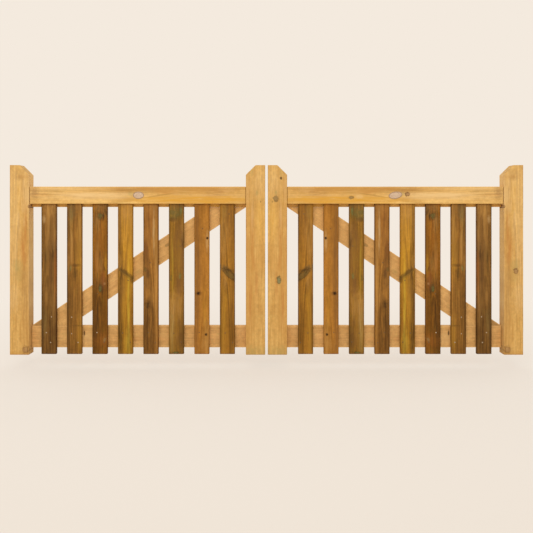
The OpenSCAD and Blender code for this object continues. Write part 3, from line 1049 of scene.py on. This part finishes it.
LEAF_MARKS["pale_5"] = [
    (TAN, 668, 745, 50, 90, 0.6), (BLEACH_AND_PAINTED_LIGHT, 680, 580, 7, 130, 1.1), (RUST, 655, 600, 26, 200, 0.4),
    (SHADE, 641, 480, 14, 90, 0.8), (SHADE, 696, 480, 7, 110, 0.7),
    (SHADE, 667, 120, 24, 190, 0.8), (SHADE, 650, 384, 12, 30), (UMBER, 650, 540, 26, 240, 0.6),
    (TAN, 692, 330, 10, 420, 0.7), (UMBER, 645, 360, 16, 70, 0.8), (UMBER, 686, 690, 26, 60, 0.6),
    (GREEN, 640, 404, 8, 18, 0.5), (SHADE, 648, 352, 34, 60, 0.28),
    (SHADE, 657, 150, 16, 180, 0.5), (TAN, 637, 120, 12, 200, 0.2), (SHADE, 657, 510, 16, 70, 0.3),
    (TAN, 675, 280, 14, 60, 0.4), (SHADE, 657, 100, 14, 120, 0.15), (RUST, 639, 510, 14, 60, 0.5),
    (SHADE, 637, 230, 8, 420, 0.6), (SHADE, 633, 590, 7, 220, 0.5), (SHADE, 650, 236, 14, 34),
    (INK, 646, 241, 18, 6, 0.35, 10), (INK, 650, 233, 8, 16, 0.5),
]
LEAF_MARKS["pale_6"] = [
    (SLATE, 786, 700, 60, 50, 0.6), (OLIVE, 776, 668, 50, 34), (GREEN, 772, 676, 18, 18, 0.4),
    (GREEN, 792, 664, 14, 16, 0.4, 30), (JADE, 805, 682, 9, 34, 0.6), (SHADE, 772, 642, 28, 16),
    (UMBER, 804, 440, 26, 330, 0.9), (BLEACH_AND_PAINTED_LIGHT, 768, 180, 14, 120, 0.35),
    (UMBER, 800, 510, 30, 110, 0.7), (UMBER, 786, 540, 40, 90, 0.6),
    (GOLD, 800, 470, 14, 120, 0.6), (KNOT, 808, 580, 12, 11, 0.5), (SHADE, 816, 552, 9, 60),
    (LEMON, 769, 420, 7, 200, 0.5), (GREEN, 762, 364, 9, 26, 0.4), (JADE, 805, 372, 11, 24, 0.45),
    (UMBER, 800, 318, 22, 60), (TAN, 785, 230, 50, 90, 0.6), (MOSS, 767, 100, 12, 120),
    (UMBER, 806, 80, 26, 110), (SHADE, 815, 70, 10, 90, 0.7), (GREEN, 786, 8, 30, 8),
    (UMBER, 806, 470, 36, 150, 0.5), (TAN, 779, 662, 16, 60, 0.3), (TAN, 770, 100, 30, 120, 0.35),
    (SHADE, 806, 50, 30, 70, 0.25), (SHADE, 797, 470, 14, 130, 0.2),
    (SHADE, 760, 433, 14, 60, 0.18), (TAN, 815, 585, 14, 60, 0.4),
]
LEAF_MARKS["pale_7"] = [
    (UMBER, 884, 380, 16, 620, 1.2), (UMBER, 898, 470, 18, 300, 0.6), (TAN, 934, 62, 24, 130, 0.9),
    (BLEACH_AND_PAINTED_LIGHT, 934, 540, 10, 60, 0.6), (GOLD, 925, 210, 16, 140, 0.4),
    (SHADE, 892, 290, 22, 12, 0.7), (BLACK, 892, 290, 9, 11), (BLACK, 935, 553, 9, 10),
    (BLACK, 929, 94, 9, 10), (TAN, 918, 40, 30, 40, 0.5),
]
LEAF_MARKS["pale_8"] = [
    (MOSS, 1016, 690, 24, 60, 0.5), (UMBER, 1040, 640, 24, 200, 0.8),
    (TAN, 1012, 560, 26, 150, 0.6), (UMBER, 1010, 190, 14, 300, 0.8), (SLATE, 1008, 410, 34, 20),
    (SHADE, 1040, 402, 34, 9, 0.7, 25), (SPIKE, 1044, 379, 76, 26, 0.75, 40),
    (TAN, 1021, 352, 14, 50, 0.5), (GOLD, 1010, 160, 22, 230, 0.7),
    (SHADE, 1060, 150, 18, 240, 0.7), (SHADE, 1064, 660, 9, 160, 0.7),
    (SHADE, 1000, 160, 8, 280, 0.7),
]

# Marks that the right leaf has besides.
RIGHT_MARKS = {
    "hanging_stile": [(RINGED, 35, 398, 20, 22, 0.8)],
    "meeting_stile": [
        (BLACK, 1148, 838, 9, 10, 0.8), (GREY, 1173, 741, 22, 24), (TEAL, 1158, 355, 18, 32),
    ],
    "top_rail": [
        (GREY, 815, 746, 13, 20), (BLEACH_AND_PAINTED_LIGHT, 778, 750, 12, 26, 1.2), (RINGED, 549, 762, 18, 19),
    ],
}


def leaf_timbers():
    made = [
        stile("hanging_stile", hanging_low, hanging_high, True),
        stile("meeting_stile", meeting_low, meeting_high, False),
        top_rail(), bottom_rail(), brace(),
    ]
    return made + [pale(number) for number in range(1, PALE_COUNT + 1)]


# The first timber's seed for its grain, and the step to the next one's.
FIRST_SEED = 11.0
SEED_STEP = 5.3


def build_leaf(side):
    for seed, timber in enumerate(leaf_timbers()):
        cad_node = f"{side}_{timber.part}"
        piece = timber_object(timber, side, seed)
        rows = LEAF_MARKS[timber.part]
        if side == "right":
            rows = rows + RIGHT_MARKS.get(timber.part, [])
        marks = [Mark(*row) for row in rows]
        grain_seed = FIRST_SEED + SEED_STEP * seed
        piece.data.materials.append(timber_material(timber, side, grain_seed, marks))
        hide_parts(cad_node)
        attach(piece, f"{side}_leaf")


# ---- stage, lights and camera ----

# The floor lies this far below the stiles' feet, as under a hung gate.
FLOOR_DROP = 0.06
FLOOR_R = 16
FLOOR_POINTS = 96
BACKDROP = srgb(244, 234, 222)
FLOOR_NEAR = srgb(234, 222, 208)
FLOOR = srgb(230, 222, 212)
DAYLIGHT = srgb(255, 253, 250)
DAYLIGHT_POWER = 0.96
LAMP_TONE = srgb(255, 252, 247)[:3]
# Soft boxes: place from the middle of the gate's foot, width, height and power in watts.
SOFT_BOXES = {
    "key": ((-0.9, -5.2, 4.0), 5.6, 2.8, 112),
    "rear": ((0.0, 4.6, 3.8), 4.4, 2.6, 24),
}
# Height above the stiles' feet at which the soft boxes aim.
AIM_UP = 0.5


def backdrop_ray(tree):
    """1 where the eye, a reflection or a clear surface looks at the studio."""
    path = node(tree, "ShaderNodeLightPath").outputs
    seen = calc(tree, "MAXIMUM", path["Is Camera Ray"], path["Is Glossy Ray"])
    return calc(tree, "MAXIMUM", seen, path["Is Transmission Ray"])


def floor_material():
    """Pale floor that shows the gate's soft shadow and fades into the backdrop."""
    material, tree, shader = new_material("floor_cream")
    tree.nodes.remove(shader)
    output = tree.nodes["Material Output"]
    coords = node(tree, "ShaderNodeTexCoord").outputs["Object"]
    reach = vmath(tree, "LENGTH", coords)
    front = axis(tree, coords, "Y")
    far = calc(tree, "MAXIMUM", ease(tree, front, -2.6, 0.6), ease(tree, reach, 3.0, 8.0))
    tone = blend(tree, far, FLOOR_NEAR, BACKDROP)
    lit = node(tree, "ShaderNodeBsdfDiffuse", {"Color": FLOOR})
    shown = node(tree, "ShaderNodeEmission", {"Color": tone})
    share = ease(tree, reach, 1.4, 3.4, 0.6, 1.0)
    share = times(tree, share, backdrop_ray(tree))
    mixed = node(tree, "ShaderNodeMixShader", {0: share, 1: lit.outputs[0], 2: shown.outputs[0]})
    feed(tree, output.inputs, {"Surface": mixed.outputs[0]})
    return material


def build_stage():
    bm = bmesh.new()
    bmesh.ops.create_circle(bm, cap_ends=True, segments=FLOOR_POINTS, radius=FLOOR_R)
    floor = mesh_object("floor", bm)
    floor.location = (CENTRE_X, 0, FOOT_Z - FLOOR_DROP)
    floor.data.materials.append(floor_material())


def build_world():
    world = bpy.data.worlds.new("studio")
    scene.world = world
    world.use_nodes = True
    tree = world.node_tree
    tree.nodes.clear()
    output = node(tree, "ShaderNodeOutputWorld")
    light = node(tree, "ShaderNodeBackground", {"Color": DAYLIGHT, "Strength": DAYLIGHT_POWER})
    shown = node(tree, "ShaderNodeBackground", {"Color": BACKDROP})
    inputs = {0: backdrop_ray(tree), 1: light.outputs[0], 2: shown.outputs[0]}
    mixed = node(tree, "ShaderNodeMixShader", inputs)
    feed(tree, output.inputs, {"Surface": mixed.outputs[0]})


def build_lights():
    aim = Vector((CENTRE_X, FRONT_Y, FOOT_Z + AIM_UP))
    for name, ((dx, dy, dz), width, height, power) in SOFT_BOXES.items():
        light = bpy.data.lights.new(name, "AREA")
        adjust(light, shape="RECTANGLE", size=width, size_y=height)
        adjust(light, energy=power, color=LAMP_TONE)
        made = new_object(name, light)
        made.location = place = Vector((CENTRE_X + dx, FRONT_Y + dy, FOOT_Z + dz))
        made.rotation_euler = (aim - place).to_track_quat("-Z", "Y").to_euler()


# The camera's distance from the stiles' front and height above their feet, and the width
# that it sees of their front, whose middle lies this far above the feet.
CAMERA_BACK = 3.5
CAMERA_UP = 0.683
VIEW_WIDTH = 2.5255
VIEW_MIDDLE_UP = 0.419
SENSOR = 36.0


def build_camera():
    camera = bpy.data.cameras.new("camera")
    camera.sensor_width = SENSOR
    camera.lens = SENSOR * CAMERA_BACK / VIEW_WIDTH
    camera.shift_y = (VIEW_MIDDLE_UP - CAMERA_UP) / VIEW_WIDTH
    made = new_object("camera", camera)
    made.location = (CENTRE_X, FRONT_Y - CAMERA_BACK, FOOT_Z + CAMERA_UP)
    made.rotation_euler = (math.pi / 2, 0, 0)
    scene.camera = made


for side in SIDES:
    build_leaf(side)
    badge(side)
    build_nails(side)
    build_screws(side)
dress_hinges()
build_stage()
build_world()
build_lights()
build_camera()
scene.view_settings.view_transform = "Standard"
